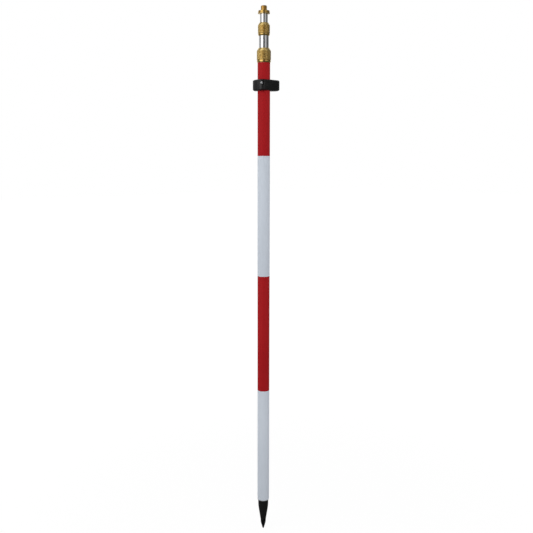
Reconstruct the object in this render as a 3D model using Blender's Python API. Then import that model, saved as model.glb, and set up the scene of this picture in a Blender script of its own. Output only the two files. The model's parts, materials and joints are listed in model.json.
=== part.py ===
"""Telescoping prism pole: three nested tubes, two brass twist locks, a steel
foot point, a 5/8-11 head stud and a circular level on a clamp-on bracket.

The pole stands on +Z with the centre of its blunt tip at the origin, fully
closed.  The level's arm points along +X.  Lengths below are in millimetres
and are turned into metres as each mesh is made.
"""

from collections import namedtuple
from math import cos, pi, radians, sin

import bmesh
import bpy
from mathutils import Matrix, Vector

MM = 0.001                # metres in a millimetre

# ---- driving dimensions, millimetres ------------------------------------

GAP = 0.3                 # clearance between neighbouring pieces
SHOWN_SIDES = 32          # sides of a round piece that shows
HIDDEN_SIDES = 20         # sides of a round piece inside another

Tube = namedtuple("Tube", "radius wall bottom top")
OUTER = Tube(radius=14.9, wall=1.4, bottom=83.9, top=1228.3)
MIDDLE = Tube(radius=12.0, wall=1.2, bottom=139.3, top=1292.2)
INNER = Tube(radius=9.5, wall=1.0, bottom=161.3, top=1342.6)

BAND_LENGTH = 304.8       # one foot of colour
BAND_START = 87.0         # height that the feet are counted from
SLEEVE_INNER_RADIUS = 15.1
SLEEVE_RADIUS = 15.45
SLEEVE_TOP = 1226.9
BARE_FOOT = 2.2           # of the outer tube, under the lowest sleeve

TIP_FLAT_RADIUS = 1.5
TIP_CONE_RADIUS = 6.7
TIP_CONE_TOP = 18.0
TIP_COLLAR_RADIUS = 7.1
TIP_COLLAR_TOP = 26.8
TIP_SHANK_RADIUS = 3.0
TIP_SHANK_TOP = 44.0

POINT_MIDDLE_RADIUS = 11.6
POINT_MIDDLE_HEIGHT = 54.6
POINT_TOP_RADIUS = 13.5
POINT_TAPER_TOP = 72.0
POINT_STUD_RADIUS = 7.9
POINT_STUD_TOP = 118.0

FOOT_PLUG_TOP = 127.0
LANDING_PAD_THICKNESS = 8.0
GUIDE_BUSH_LENGTH = 45.0
BUSH_LIP = 3.0
FLOOR_PLUG_LENGTH = 16.0

# A twist lock is a ring fixed to the wider tube, with a knurled nut above it.
# The nut is a barrel and a conical crown.  Heights are from the ring's lower edge.
Lock = namedtuple("Lock", "base ring_top barrel_top crown_top barrel_radius spigot_length")
LOWER_LOCK = Lock(base=1227.2, ring_top=5.6, barrel_top=28.4, crown_top=34.5,
                  barrel_radius=17.25, spigot_length=45.2)
UPPER_LOCK = Lock(base=1290.6, ring_top=4.4, barrel_top=25.3, crown_top=31.0,
                  barrel_radius=14.5, spigot_length=44.6)
RING_BEVEL = 2.4          # height of the slope under either ring
COLLET_SLIT = 1.2

# Heights inside either lock, from the top of its ring.
NECK_CONE_BOTTOM = 5.7
NECK_TOP = 14.7
NUT_THREAD_TOP = 16.2
NUT_CONE_TOP = 24.6
COLLET_BOTTOM = 6.6
COLLET_WAIST = 15.2
COLLET_TOP = 24.2
NUT_CLEARANCE = 0.35      # between a sliding tube and the brass around it

FLANGE_BOTTOM = 1342.9
FLANGE_TOP = 1349.4
FLANGE_LOWER_RADIUS = 14.65
FLANGE_UPPER_RADIUS = 14.0
FLANGE_GROOVE_RADIUS = 12.6
STUD_RADIUS = 7.94        # 5/8 inch thread, outside
STUD_NECK_RADIUS = 6.7
STUD_RELIEF_RADIUS = 8.4  # shallow relief in the seat, round the stud's neck
STUD_RELIEF_DEPTH = 0.4
STUD_TOP = 1361.2
HEAD_SHANK_RADIUS = 5.0
HEAD_SHANK_BOTTOM = 1312.0
HEAD_PLUG_BOTTOM = 1306.0

# Heights on the bracket are from its underside.
BRACKET_BASE = 1159.2
BRACKET_HEIGHT = 27.4
BRACKET_EDGE_RISE = 2.6   # height of the slope round either face
BRACKET_EDGE_WIDTH = 5.0
CUP_EDGE_WIDTH = 2.2      # of the upper slope round the pocket
CUP_LIFT = 2.0            # rise of the underside towards the cup
BRACKET_BACK = 23.5       # from the pole's axis to the clamp end
BRACKET_HALF_WIDTH = 22.0
BRACKET_CORNER = 12.0
BRACKET_BORE = SLEEVE_RADIUS + GAP
CUP_OFFSET = 30.0         # from the pole's axis to the level's axis
CUP_RADIUS = 14.6
POCKET_RADIUS = 11.8
POCKET_FLOOR = 8.2
CLAMP_SLIT = 1.8

CLAMP_X = -18.4
CLAMP_HEIGHT = 18.0
CLAMP_SCREW_RADIUS = 1.5
CLAMP_SEAT = 15.4         # from the slit's plane to either recess floor
CLAMP_RECESS_RADIUS = 5.2
CLAMP_HEAD_RADIUS = 3.6
CLAMP_HEAD_HEIGHT = 2.6
CLAMP_WASHER_THICKNESS = 0.6
CLAMP_SCREW_END = 17.8    # past the slit's plane, beyond the nut
CLAMP_NUT_RADIUS = 3.175  # at its corners
CLAMP_NUT_THICKNESS = 2.4

CASE_FLANGE_RADIUS = 11.4
CASE_BODY_RADIUS = 7.9
CASE_BORE = 6.9
CASE_BOTTOM = 12.2
CASE_FLANGE_BOTTOM = 22.5
CASE_TOP = 24.5
VIAL_RIM = 24.0
VIAL_CROWN = 25.7
VIAL_SCREW_CIRCLE = 9.6
VIAL_SCREW_RADIUS = 0.8
VIAL_SCREW_HEAD_RADIUS = 1.5
VIAL_SCREW_HEAD_HEIGHT = 1.3
VIAL_SCREW_BOTTOM = 3.4
VIAL_SCREW_COUNT = 3


# ---- materials ------------------------------------------------------------

def material(name, color, roughness, metallic=0.0, alpha=1.0):
    """A Principled material of one colour."""
    made = bpy.data.materials.new(name)
    made.use_nodes = True
    shader = made.node_tree.nodes["Principled BSDF"]
    shader.inputs["Base Color"].default_value = (*color, 1.0)
    shader.inputs["Roughness"].default_value = roughness
    shader.inputs["Metallic"].default_value = metallic
    shader.inputs["Alpha"].default_value = alpha
    made.diffuse_color = (*color, alpha)
    return made


def make_materials():
    return {
        "red": material("red_film", (0.42, 0.012, 0.016), 0.35),
        "white": material("white_film", (0.62, 0.66, 0.70), 0.35),
        "brass": material("brass", (0.62, 0.40, 0.13), 0.25, metallic=1.0),
        "aluminium": material("polished_aluminium", (0.80, 0.81, 0.82), 0.15, metallic=1.0),
        "black plastic": material("black_plastic", (0.012, 0.012, 0.013), 0.4),
        "black steel": material("black_steel", (0.02, 0.02, 0.022), 0.35, metallic=1.0),
        "nylon": material("nylon", (0.75, 0.73, 0.66), 0.5),
        "rubber": material("rubber", (0.02, 0.02, 0.02), 0.8),
        "zinc": material("zinc_steel", (0.62, 0.63, 0.65), 0.3, metallic=1.0),
        "glass": material("clear_glass", (0.9, 0.95, 0.92), 0.05, alpha=0.35),
        "fluid": material("level_fluid", (0.45, 0.75, 0.10), 0.1, alpha=0.6),
    }


# ---- mesh helpers ---------------------------------------------------------

def clear_scene():
    for old in list(bpy.data.objects):
        bpy.data.objects.remove(old, do_unlink=True)


def mesh_from(name, bm, finish):
    """Turn a bmesh in millimetres into a smooth-shaded mesh in metres."""
    bmesh.ops.scale(bm, vec=(MM, MM, MM), verts=bm.verts)
    bmesh.ops.recalc_face_normals(bm, faces=bm.faces)
    mesh = bpy.data.meshes.new(name)
    bm.to_mesh(mesh)
    bm.free()
    mesh.materials.append(finish)
    mesh.shade_smooth()
    mesh.set_sharp_from_angle(angle=radians(28))
    return mesh


def place(name, data, parent, location=(0, 0, 0)):
    """Add an object, or an empty where there is no mesh, under a parent."""
    obj = bpy.data.objects.new(name, data)
    bpy.context.collection.objects.link(obj)
    obj.parent = parent
    obj.location = Vector(location) * MM
    return obj


def group(name, parent=None, location=(0, 0, 0)):
    """An empty on the axis of pieces that move together."""
    empty = place(name, None, parent, location)
    empty.empty_display_size = 0.02
    return empty


def turned_mesh(profile, sides):
    """Spin an outline of (radius, height) points once round Z.

    An outline that starts and ends on the axis makes a solid.  Any other
    outline is closed into a ring.
    """
    bm = bmesh.new()
    points = [bm.verts.new((radius, 0, height)) for radius, height in profile]
    edges = [bm.edges.new(pair) for pair in zip(points, points[1:])]
    if profile[0][0] > 0:
        edges.append(bm.edges.new((points[-1], points[0])))
    bmesh.ops.spin(bm, geom=points + edges, cent=(0, 0, 0), axis=(0, 0, 1), dvec=(0, 0, 0),
                   angle=2 * pi, steps=sides, use_merge=True, use_duplicate=False)
    bmesh.ops.remove_doubles(bm, verts=bm.verts, dist=1e-4)
    return bm


def turned(name, profile, finish, parent, sides=SHOWN_SIDES, location=(0, 0, 0)):
    mesh = mesh_from(name, turned_mesh(profile, sides), finish)
    return place(name, mesh, parent, location)


def ring_profile(inner_radius, outer_radius, bottom, top):
    return [(inner_radius, bottom), (outer_radius, bottom), (outer_radius, top), (inner_radius, top)]


def disc_profile(radius, bottom, top):
    return [(0, bottom), (radius, bottom), (radius, top), (0, top)]


def dome_profile(radius, rim, crown, steps):
    """Points along a shallow dome, from its rim in to the axis."""
    for step in range(steps + 1):
        share = 1 - step / steps
        yield radius * share, crown - (crown - rim) * share ** 2


def box_mesh(low, high):
    bm = bmesh.new()
    bmesh.ops.create_cube(bm, size=1.0)
    low, high = Vector(low), Vector(high)
    bmesh.ops.scale(bm, vec=high - low, verts=bm.verts)
    bmesh.ops.translate(bm, vec=(high + low) / 2, verts=bm.verts)
    return bm


def placed_mesh(bm, offset, turn=None):
    """Turn a bmesh about the origin, then move it."""
    if turn is not None:
        bmesh.ops.rotate(bm, cent=(0, 0, 0), matrix=turn, verts=bm.verts)
    bmesh.ops.translate(bm, vec=offset, verts=bm.verts)
    return bm


def cut(target, name, bm, finish):
    """Cut a bmesh, given in the target's own space, out of the target."""
    cutter = place(f"cut_{name}", mesh_from(f"cut_{name}", bm, finish), target)
    cutter.hide_render = True
    cutter.display_type = "WIRE"
    boolean = target.modifiers.new(name, "BOOLEAN")
    boolean.operation = "DIFFERENCE"
    boolean.solver = "EXACT"
    boolean.object = cutter


# ---- tubes and what slides in them ---------------------------------------

def bore(tube):
    return tube.radius - tube.wall


def add_tube(name, tube, finish, parent):
    profile = ring_profile(bore(tube), tube.radius, tube.bottom, tube.top)
    turned(name, profile, finish, parent)


def add_colour_sleeves(finishes, parent):
    """Sleeves one foot long from the foot up, the last one cut at the lock."""
    sleeves = (("white", "lower"), ("red", "lower"), ("white", "upper"), ("red", "upper"))
    bottom = OUTER.bottom + BARE_FOOT
    for number, (color, level) in enumerate(sleeves, start=1):
        foot = BAND_START + number * BAND_LENGTH
        top = min(foot - GAP, SLEEVE_TOP)
        profile = ring_profile(SLEEVE_INNER_RADIUS, SLEEVE_RADIUS, bottom, top)
        turned(f"{color}_band_{level}", profile, finishes[color], parent)
        bottom = foot


def add_guide_bush(name, moving, fixed, finish, parent):
    """A shoe on the foot of a sliding tube, which runs in the tube around it."""
    outside = bore(fixed) - GAP
    inside = moving.radius + GAP
    lip = bore(moving) - 2.0
    lip_top = moving.bottom - GAP
    bottom = lip_top - BUSH_LIP
    top = bottom + GUIDE_BUSH_LENGTH
    profile = [
        (lip, bottom),
        (outside - 0.6, bottom),
        (outside, bottom + 0.6),
        (outside, top),
        (inside, top),
        (inside, lip_top),
        (lip, lip_top),
    ]
    turned(name, profile, finish, parent, HIDDEN_SIDES)


# ---- foot ---------------------------------------------------------------------

def add_point_tip(finish, parent):
    """The hardened tip: a blunt cone, a collar and a shank into the point."""
    profile = [
        (0, 0),
        (TIP_FLAT_RADIUS, 0),
        (TIP_FLAT_RADIUS + 0.4, 0.6),
        (TIP_CONE_RADIUS, TIP_CONE_TOP),
        (TIP_COLLAR_RADIUS - 0.3, TIP_CONE_TOP + 0.8),
        (TIP_COLLAR_RADIUS, TIP_COLLAR_TOP),
        (TIP_SHANK_RADIUS, TIP_COLLAR_TOP),
        (TIP_SHANK_RADIUS, TIP_SHANK_TOP),
        (0, TIP_SHANK_TOP),
    ]
    turned("point_tip", profile, finish, parent)


def add_point_cone(finish, parent):
    """The tapered point, with the stud that screws into the foot plug."""
    bottom = TIP_COLLAR_TOP + GAP
    shoulder = OUTER.bottom - GAP
    profile = [
        (0, TIP_SHANK_TOP + GAP),
        (TIP_SHANK_RADIUS + GAP, TIP_SHANK_TOP + GAP),
        (TIP_SHANK_RADIUS + GAP, bottom),
        (TIP_COLLAR_RADIUS, bottom),
        (TIP_COLLAR_RADIUS + 0.3, bottom + 1.2),
        (POINT_MIDDLE_RADIUS, POINT_MIDDLE_HEIGHT),
        (POINT_TOP_RADIUS - 0.5, POINT_TAPER_TOP - 8.0),
        (POINT_TOP_RADIUS - 0.2, POINT_TAPER_TOP - 2.5),
        (POINT_TOP_RADIUS, POINT_TAPER_TOP),
        (POINT_TOP_RADIUS, shoulder),
        (POINT_STUD_RADIUS, shoulder),
        (POINT_STUD_RADIUS, POINT_STUD_TOP - 1.0),
        (POINT_STUD_RADIUS - 1.0, POINT_STUD_TOP),
        (0, POINT_STUD_TOP),
    ]
    turned("point_cone", profile, finish, parent)


def add_foot_plug(finish, parent):
    """The threaded plug fixed in the foot of the outer tube."""
    hole_top = POINT_STUD_TOP + 2.0
    radius = bore(OUTER) - GAP
    profile = [
        (0, hole_top),
        (POINT_STUD_RADIUS + GAP, hole_top),
        (POINT_STUD_RADIUS + GAP, OUTER.bottom),
        (radius, OUTER.bottom),
        (radius, FOOT_PLUG_TOP),
        (0, FOOT_PLUG_TOP),
    ]
    turned("foot_plug", profile, finish, parent, HIDDEN_SIDES)


def add_landing_pad(finish, parent):
    """The bumper that the closed middle section lands on."""
    bottom = FOOT_PLUG_TOP + GAP
    profile = disc_profile(bore(OUTER) - 2 * GAP, bottom, bottom + LANDING_PAD_THICKNESS)
    turned("landing_pad", profile, finish, parent, HIDDEN_SIDES)


def add_floor_plug(finish, parent):
    """The plug in the foot of the middle tube, under the inner section."""
    bottom = MIDDLE.bottom
    profile = disc_profile(bore(MIDDLE) - GAP, bottom, bottom + FLOOR_PLUG_LENGTH)
    turned("middle_floor_plug", profile, finish, parent, HIDDEN_SIDES)


# ---- twist locks -----------------------------------------------------------------

def thread_radius(lock, sliding):
    """Halfway between the barrel's outside and the tube that it grips."""
    return (lock.barrel_radius + sliding.radius) / 2 + 0.5


def add_lock_body(name, lock, fixed, sliding, finish, parent):
    """The fixed part: a spigot in the wider tube, a ring and a threaded neck."""
    thread = thread_radius(lock, sliding)
    hole = sliding.radius + NUT_CLEARANCE
    spigot = bore(fixed) - GAP
    socket = (SLEEVE_RADIUS if fixed is OUTER else fixed.radius) + 0.15
    seat = fixed.top - lock.base + GAP
    neck_top = lock.ring_top + NECK_TOP
    cone_bottom = lock.ring_top + NECK_CONE_BOTTOM
    profile = [
        (hole, -lock.spigot_length),
        (spigot, -lock.spigot_length),
        (spigot, seat),
        (fixed.radius + GAP, seat),
        (fixed.radius + GAP, 0),
        (socket + 0.2, 0),
        (lock.barrel_radius - 0.15, RING_BEVEL),
        (lock.barrel_radius - 0.15, lock.ring_top - 0.4),
        (lock.barrel_radius - 0.35, lock.ring_top),
        (thread, lock.ring_top),
        (thread, neck_top - 0.6),
        (thread - 0.4, neck_top),
        (thread - 0.8, neck_top),
        (hole + 0.85, cone_bottom),
        (hole, cone_bottom),
    ]
    turned(name, profile, finish, parent)


def add_lock_nut(name, lock, sliding, finish, parent):
    """The knurled nut, whose inner cone presses the collet onto the tube."""
    thread = thread_radius(lock, sliding) + GAP
    hole = sliding.radius + NUT_CLEARANCE
    bottom = lock.ring_top + GAP
    seat_bottom = lock.ring_top + NUT_THREAD_TOP
    seat_top = lock.ring_top + NUT_CONE_TOP
    profile = [
        (thread, bottom),
        (lock.barrel_radius - 0.4, bottom),
        (lock.barrel_radius, bottom + 0.6),
        (lock.barrel_radius, lock.barrel_top),
        (hole + 0.9, lock.crown_top - 0.2),
        (hole + 0.5, lock.crown_top),
        (hole, lock.crown_top),
        (hole, seat_top),
        (hole + 0.85, seat_top),
        (thread - 0.3, seat_bottom),
        (thread, seat_bottom),
    ]
    turned(name, profile, finish, parent)


def add_lock_collet(name, lock, sliding, finish, parent):
    """The slit nylon collet between the neck's cone and the nut's cone."""
    thread = thread_radius(lock, sliding)
    grip = sliding.radius + GAP
    bottom = lock.ring_top + COLLET_BOTTOM
    waist = lock.ring_top + COLLET_WAIST
    top = lock.ring_top + COLLET_TOP
    profile = [
        (grip, bottom),
        (grip + 0.65, bottom),
        (thread - 1.15, waist - 0.3),
        (thread - 0.45, waist + 0.2),
        (thread - 0.45, waist + 1.2),
        (grip + 0.6, top),
        (grip, top),
    ]
    collet = turned(name, profile, finish, parent, HIDDEN_SIDES)
    reach = thread + 4
    for index in range(3):
        slit = box_mesh((-reach, -COLLET_SLIT / 2, bottom + 4.0), (reach, COLLET_SLIT / 2, top + 2.0))
        turn = Matrix.Rotation(radians(60 * index + 7), 3, "Z")
        cut(collet, f"{name}_slit_{index + 1}", placed_mesh(slit, (0, 0, 0), turn), finish)


def add_lock(prefix, lock, fixed, sliding, finishes, parent):
    """A whole twist lock on top of the fixed tube."""
    axis = group(f"{prefix}_lock", parent, (0, 0, lock.base))
    add_lock_body(f"{prefix}_lock_body", lock, fixed, sliding, finishes["brass"], axis)
    lift = group(f"{prefix}_lock_lift", axis)
    add_lock_collet(f"{prefix}_lock_collet", lock, sliding, finishes["nylon"], lift)
    add_lock_nut(f"{prefix}_lock_nut", lock, sliding, finishes["brass"], lift)


# ---- head --------------------------------------------------------------------------

def add_head_plug(finish, parent):
    """The threaded plug in the top of the inner tube."""
    hole_bottom = HEAD_SHANK_BOTTOM - 2.0
    radius = bore(INNER) - GAP
    profile = [
        (0, HEAD_PLUG_BOTTOM),
        (radius, HEAD_PLUG_BOTTOM),
        (radius, INNER.top),
        (HEAD_SHANK_RADIUS + GAP, INNER.top),
        (HEAD_SHANK_RADIUS + GAP, hole_bottom),
        (0, hole_bottom),
    ]
    turned("head_plug", profile, finish, parent, HIDDEN_SIDES)


def add_head_adapter(finish, parent):
    """Shank, double-rimmed flange and the stud that a prism screws onto."""
    middle = (FLANGE_BOTTOM + FLANGE_TOP) / 2
    profile = [
        (0, HEAD_SHANK_BOTTOM),
        (HEAD_SHANK_RADIUS - 0.6, HEAD_SHANK_BOTTOM),
        (HEAD_SHANK_RADIUS, HEAD_SHANK_BOTTOM + 0.8),
        (HEAD_SHANK_RADIUS, FLANGE_BOTTOM),
        (FLANGE_LOWER_RADIUS - 0.4, FLANGE_BOTTOM),
        (FLANGE_LOWER_RADIUS, FLANGE_BOTTOM + 0.5),
        (FLANGE_LOWER_RADIUS, middle - 1.1),
        (FLANGE_GROOVE_RADIUS, middle),
        (FLANGE_UPPER_RADIUS, middle + 1.1),
        (FLANGE_UPPER_RADIUS, FLANGE_TOP - 0.5),
        (FLANGE_UPPER_RADIUS - 0.5, FLANGE_TOP),
        (STUD_RELIEF_RADIUS, FLANGE_TOP),
        (STUD_RELIEF_RADIUS, FLANGE_TOP - STUD_RELIEF_DEPTH),
        (STUD_NECK_RADIUS, FLANGE_TOP - STUD_RELIEF_DEPTH),
        (STUD_NECK_RADIUS, FLANGE_TOP + 1.4),
        (STUD_RADIUS, FLANGE_TOP + 2.4),
        (STUD_RADIUS, STUD_TOP - 1.2),
        (STUD_RADIUS - 1.2, STUD_TOP),
        (0, STUD_TOP),
    ]
    turned("head_adapter", profile, finish, parent)


# ---- level bracket -----------------------------------------------------------------

def bracket_outline(shrink, cup_shrink):
    """Points round the bracket, a rounded block that tapers to the cup."""
    corner_x = -BRACKET_BACK + BRACKET_CORNER
    corner_y = BRACKET_HALF_WIDTH - BRACKET_CORNER
    arcs = (
        (corner_x, -corner_y, BRACKET_CORNER - shrink, 180, 270),
        (CUP_OFFSET, 0, CUP_RADIUS - cup_shrink, -80, 80),
        (corner_x, corner_y, BRACKET_CORNER - shrink, 90, 180),
    )
    for center_x, center_y, radius, first, last in arcs:
        steps = round((last - first) / 10)
        for step in range(steps + 1):
            angle = radians(first + (last - first) * step / steps)
            yield center_x + radius * cos(angle), center_y + radius * sin(angle)


def bracket_block():
    """The block as the hull of its outline at four heights, edges sloped."""
    bm = bmesh.new()
    length = BRACKET_BACK + CUP_OFFSET + CUP_RADIUS
    levels = (
        (0, CUP_LIFT, BRACKET_EDGE_WIDTH, BRACKET_EDGE_WIDTH),
        (BRACKET_EDGE_RISE, CUP_LIFT, 0, 0),
        (BRACKET_HEIGHT - BRACKET_EDGE_RISE, 0, 0, 0),
        (BRACKET_HEIGHT, 0, BRACKET_EDGE_WIDTH, CUP_EDGE_WIDTH),
    )
    for height, lift, shrink, cup_shrink in levels:
        for x, y in bracket_outline(shrink, cup_shrink):
            bm.verts.new((x, y, height + lift * (x + BRACKET_BACK) / length))
    bmesh.ops.convex_hull(bm, input=bm.verts)
    bmesh.ops.dissolve_limit(bm, angle_limit=radians(0.5), verts=bm.verts, edges=bm.edges)
    return bm


def add_bracket(finish, parent):
    """The moulded bracket: pole clamp, arm and cup in one piece."""
    body = place("vial_bracket", mesh_from("vial_bracket", bracket_block(), finish), parent)
    over = BRACKET_HEIGHT + 1
    bore_cutter = turned_mesh(disc_profile(BRACKET_BORE, -1, over), SHOWN_SIDES)
    cut(body, "pole_bore", bore_cutter, finish)
    slit = box_mesh((-BRACKET_BACK - 1, -CLAMP_SLIT / 2, -1), (-BRACKET_BORE + 1, CLAMP_SLIT / 2, over))
    cut(body, "clamp_slit", slit, finish)

    pocket = turned_mesh(disc_profile(POCKET_RADIUS, POCKET_FLOOR, over), SHOWN_SIDES)
    cut(body, "vial_pocket", placed_mesh(pocket, (CUP_OFFSET, 0, 0)), finish)
    for index, (x, y) in enumerate(vial_screw_places()):
        hole = turned_mesh(disc_profile(VIAL_SCREW_RADIUS + GAP, -1, POCKET_FLOOR + 1), 12)
        cut(body, f"screw_hole_{index + 1}", placed_mesh(hole, (x, y, 0)), finish)

    across = Matrix.Rotation(-pi / 2, 3, "X")
    place_of_screw = (CLAMP_X, 0, CLAMP_HEIGHT)
    half = BRACKET_HALF_WIDTH + 1
    hole = turned_mesh(disc_profile(CLAMP_SCREW_RADIUS + GAP, -half, half), 16)
    cut(body, "clamp_hole", placed_mesh(hole, place_of_screw, across), finish)
    recess = turned_mesh(disc_profile(CLAMP_RECESS_RADIUS, -half, -CLAMP_SEAT), 20)
    cut(body, "head_recess", placed_mesh(recess, place_of_screw, across), finish)
    hexagon = turned_mesh(disc_profile(CLAMP_NUT_RADIUS + GAP + 0.1, CLAMP_SEAT, half), 6)
    cut(body, "nut_recess", placed_mesh(hexagon, place_of_screw, across), finish)


def add_clamp_screw(finishes, parent):
    """Screw, washer and nut across the slit, with the head towards -Y."""
    lift = group("clamp_screw_lift", parent, (CLAMP_X, 0, CLAMP_HEIGHT))
    lift.rotation_euler = (pi / 2, 0, 0)
    washer_bottom = CLAMP_SEAT + GAP
    washer_top = washer_bottom + CLAMP_WASHER_THICKNESS
    washer = ring_profile(CLAMP_SCREW_RADIUS + GAP, CLAMP_HEAD_RADIUS + 0.4, washer_bottom, washer_top)
    turned("clamp_washer", washer, finishes["zinc"], lift, 20)

    head_bottom = washer_top + GAP
    head_top = head_bottom + CLAMP_HEAD_HEIGHT
    socket = 1.6
    screw = [
        (0, -CLAMP_SCREW_END),
        (CLAMP_SCREW_RADIUS, -CLAMP_SCREW_END),
        (CLAMP_SCREW_RADIUS, head_bottom),
        (CLAMP_HEAD_RADIUS, head_bottom),
        (CLAMP_HEAD_RADIUS, head_top - 1.4),
        (CLAMP_HEAD_RADIUS - 0.5, head_top - 0.5),
        (CLAMP_HEAD_RADIUS - 1.3, head_top),
        (socket, head_top),
        (socket, head_top - 1.3),
        (0, head_top - 1.3),
    ]
    turned("clamp_screw", screw, finishes["zinc"], lift, 20)

    nut_place = (CLAMP_X, 0, CLAMP_HEIGHT)
    nut_bottom = CLAMP_SEAT + GAP
    nut = ring_profile(CLAMP_SCREW_RADIUS + GAP, CLAMP_NUT_RADIUS, nut_bottom,
                       nut_bottom + CLAMP_NUT_THICKNESS)
    bm = placed_mesh(turned_mesh(nut, 6), (0, 0, 0), Matrix.Rotation(-pi / 2, 3, "X"))
    place("clamp_nut", mesh_from("clamp_nut", bm, finishes["zinc"]), parent, nut_place)


# ---- circular level ------------------------------------------------------------------

def vial_screw_places():
    for index in range(VIAL_SCREW_COUNT):
        angle = radians(60 + 360 * index / VIAL_SCREW_COUNT)
        yield CUP_OFFSET + VIAL_SCREW_CIRCLE * cos(angle), VIAL_SCREW_CIRCLE * sin(angle)


def add_vial_case(finish, parent):
    """The flanged cup that holds the level's glass and fluid."""
    floor = CASE_BOTTOM + 1.2
    profile = [
        (0, CASE_BOTTOM),
        (CASE_BODY_RADIUS, CASE_BOTTOM),
        (CASE_BODY_RADIUS, CASE_FLANGE_BOTTOM),
        (CASE_FLANGE_RADIUS, CASE_FLANGE_BOTTOM),
        (CASE_FLANGE_RADIUS, CASE_TOP - 0.4),
        (CASE_FLANGE_RADIUS - 0.4, CASE_TOP),
        (CASE_BORE, CASE_TOP),
        (CASE_BORE, floor),
        (0, floor),
    ]
    case = turned("vial_case", profile, finish, parent, SHOWN_SIDES, (CUP_OFFSET, 0, 0))
    for index, (x, y) in enumerate(vial_screw_places()):
        hole = turned_mesh(disc_profile(VIAL_SCREW_RADIUS + GAP, CASE_FLANGE_BOTTOM - 1, CASE_TOP + 1), 12)
        cut(case, f"flange_hole_{index + 1}", placed_mesh(hole, (x - CUP_OFFSET, y, 0)), finish)


def add_vial_glass(finish, parent):
    """The domed lens that closes the case."""
    radius = CASE_BORE - GAP
    under_rim = VIAL_RIM - 2.6
    under_crown = VIAL_RIM - 0.6
    outside = [(radius, VIAL_RIM), *dome_profile(radius - 0.5, VIAL_RIM + 0.3, VIAL_CROWN, 5)]
    underside = list(dome_profile(radius - 1.2, under_rim, under_crown, 5))
    profile = [*reversed(underside), (radius, under_rim), *outside]
    turned("vial_glass", profile, finish, parent, HIDDEN_SIDES, (CUP_OFFSET, 0, 0))


def add_vial_fluid(finish, parent):
    """The fluid under the lens, with the same crown on top."""
    bottom = CASE_BOTTOM + 1.2 + GAP
    radius = CASE_BORE - 1.2 - 2 * GAP
    top = dome_profile(radius, VIAL_RIM - 2.6 - GAP, VIAL_RIM - 0.6 - GAP, 5)
    profile = [(0, bottom), (radius, bottom), *top]
    turned("vial_fluid", profile, finish, parent, HIDDEN_SIDES, (CUP_OFFSET, 0, 0))


def add_vial_cushion(finish, parent):
    """The rubber pad that the three adjusting screws press the level onto."""
    profile = ring_profile(2.5, CASE_BODY_RADIUS - 0.4, POCKET_FLOOR + GAP, CASE_BOTTOM - GAP)
    turned("vial_cushion", profile, finish, parent, HIDDEN_SIDES, (CUP_OFFSET, 0, 0))


def add_vial_screws(finish, parent):
    head_bottom = CASE_TOP + GAP
    head_top = head_bottom + VIAL_SCREW_HEAD_HEIGHT
    profile = [
        (0, VIAL_SCREW_BOTTOM),
        (VIAL_SCREW_RADIUS, VIAL_SCREW_BOTTOM),
        (VIAL_SCREW_RADIUS, head_bottom),
        (VIAL_SCREW_HEAD_RADIUS, head_bottom),
        (VIAL_SCREW_HEAD_RADIUS, head_top - 0.4),
        (VIAL_SCREW_HEAD_RADIUS - 0.4, head_top),
        (0, head_top),
    ]
    for index, (x, y) in enumerate(vial_screw_places()):
        name = f"vial_screw_{index + 1}"
        screw = turned(name, profile, finish, parent, 16, (x, y, 0))
        slot = box_mesh((-0.3, -3, head_top - 0.7), (0.3, 3, head_top + 1))
        cut(screw, f"{name}_slot", slot, finish)


# ---- the whole pole -------------------------------------------------------------------

def build_pole():
    clear_scene()
    finishes = make_materials()
    lower = group("lower_section")
    middle = group("middle_section", lower)
    inner = group("inner_section", middle)
    swivel = group("bracket_swivel", lower, (0, 0, BRACKET_BASE))

    add_tube("outer_tube", OUTER, finishes["aluminium"], lower)
    add_colour_sleeves(finishes, lower)
    add_point_tip(finishes["black steel"], lower)
    add_point_cone(finishes["black plastic"], lower)
    add_foot_plug(finishes["aluminium"], lower)
    add_landing_pad(finishes["rubber"], lower)
    add_lock("lower", LOWER_LOCK, OUTER, MIDDLE, finishes, lower)

    add_tube("middle_tube", MIDDLE, finishes["aluminium"], middle)
    add_guide_bush("middle_guide_bush", MIDDLE, OUTER, finishes["nylon"], middle)
    add_floor_plug(finishes["nylon"], middle)
    add_lock("upper", UPPER_LOCK, MIDDLE, INNER, finishes, middle)

    add_tube("inner_tube", INNER, finishes["aluminium"], inner)
    add_guide_bush("inner_guide_bush", INNER, MIDDLE, finishes["nylon"], inner)
    add_head_plug(finishes["aluminium"], inner)
    add_head_adapter(finishes["brass"], inner)

    add_bracket(finishes["black plastic"], swivel)
    add_clamp_screw(finishes, swivel)
    add_vial_case(finishes["black plastic"], swivel)
    add_vial_glass(finishes["glass"], swivel)
    add_vial_fluid(finishes["fluid"], swivel)
    add_vial_cushion(finishes["rubber"], swivel)
    add_vial_screws(finishes["zinc"], swivel)


build_pole()
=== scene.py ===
"""Looks for the telescoping prism pole: fine meshes and materials on the CAD frame.

Lengths are in millimetres in the row frame and are turned into metres as each
mesh is made.  Heights and radii come from the CAD nodes' own boxes.
"""

import json
from math import ceil, cos, pi, radians, sin

import bmesh
import bpy
from mathutils import Matrix, Vector


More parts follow.
